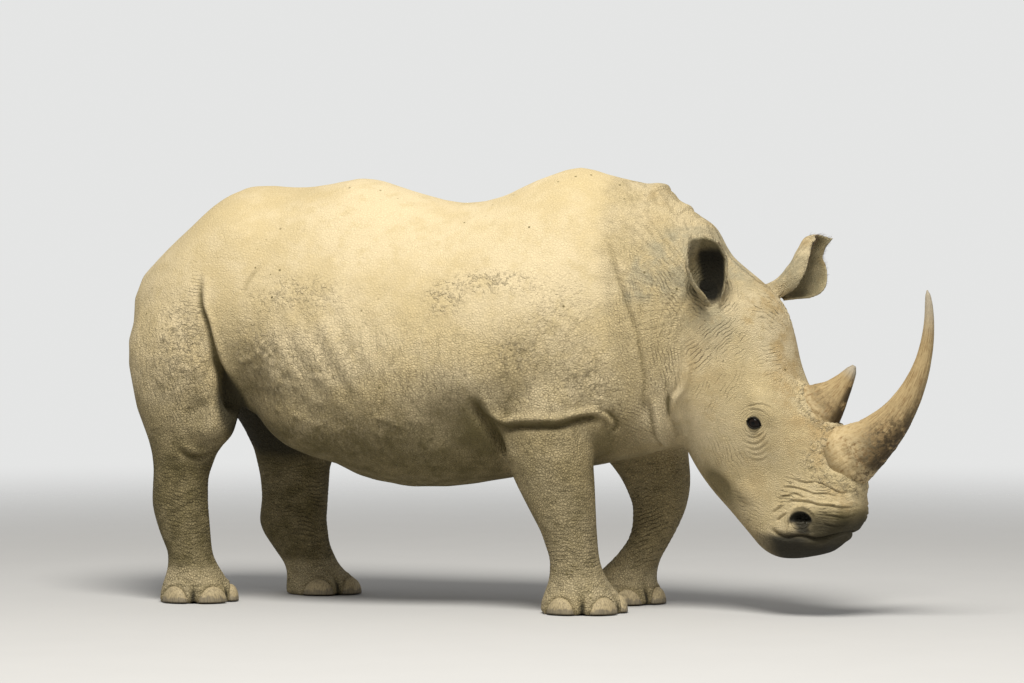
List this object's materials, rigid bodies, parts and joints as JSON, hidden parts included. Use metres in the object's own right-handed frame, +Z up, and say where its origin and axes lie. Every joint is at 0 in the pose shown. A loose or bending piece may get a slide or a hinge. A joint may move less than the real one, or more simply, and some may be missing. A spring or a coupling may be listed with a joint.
{
  "type": "white rhinoceros",
  "caption": "Life-size still model of an adult white rhinoceros, standing on all fours with its head lowered and turned slightly to its right, long front horn, ears up.",
  "frame": {"origin": "on the floor, under the middle of the model's box, where its length and width are halved", "axes": "+X points along the trunk to the head, +Y to the animal's left, +Z up from the soles"},
  "size_m": [3.3412, 0.9966, 1.6941],
  "materials": {
    "hide": "thick grey hide with fine cracks, dusted with pale dry tan mud",
    "horn": "fibrous brown horn, matt with rubbed paler tips; wood stands for keratin",
    "nail": "dull worn tan nail; matte plastic stands for keratin",
    "eye": "wet, very dark brown eye",
    "tail_hair": "coarse black bristles; fabric stands for hair"
  },
  "bodies": {
    "root": {"barrel": "hide", "ear_left": "hide", "ear_right": "hide", "eye_left": "eye", "eye_right": "eye", "fore_left_foot": "hide", "fore_left_leg": "hide", "fore_left_nail_inner": "nail", "fore_left_nail_middle": "nail", "fore_left_nail_outer": "nail", "fore_right_foot": "hide", "fore_right_leg": "hide", "fore_right_nail_inner": "nail", "fore_right_nail_middle": "nail", "fore_right_nail_outer": "nail", "forequarters": "hide", "front_horn": "horn", "head": "hide", "hind_left_foot": "hide", "hind_left_leg": "hide", "hind_left_nail_inner": "nail", "hind_left_nail_middle": "nail", "hind_left_nail_outer": "nail", "hind_right_foot": "hide", "hind_right_leg": "hide", "hind_right_nail_inner": "nail", "hind_right_nail_middle": "nail", "hind_right_nail_outer": "nail", "hindquarters": "hide", "lower_lip": "hide", "muzzle": "hide", "neck": "hide", "rear_horn": "horn", "tail_stem": "hide", "tail_tuft": "tail_hair"}
  },
  "joints": []
}
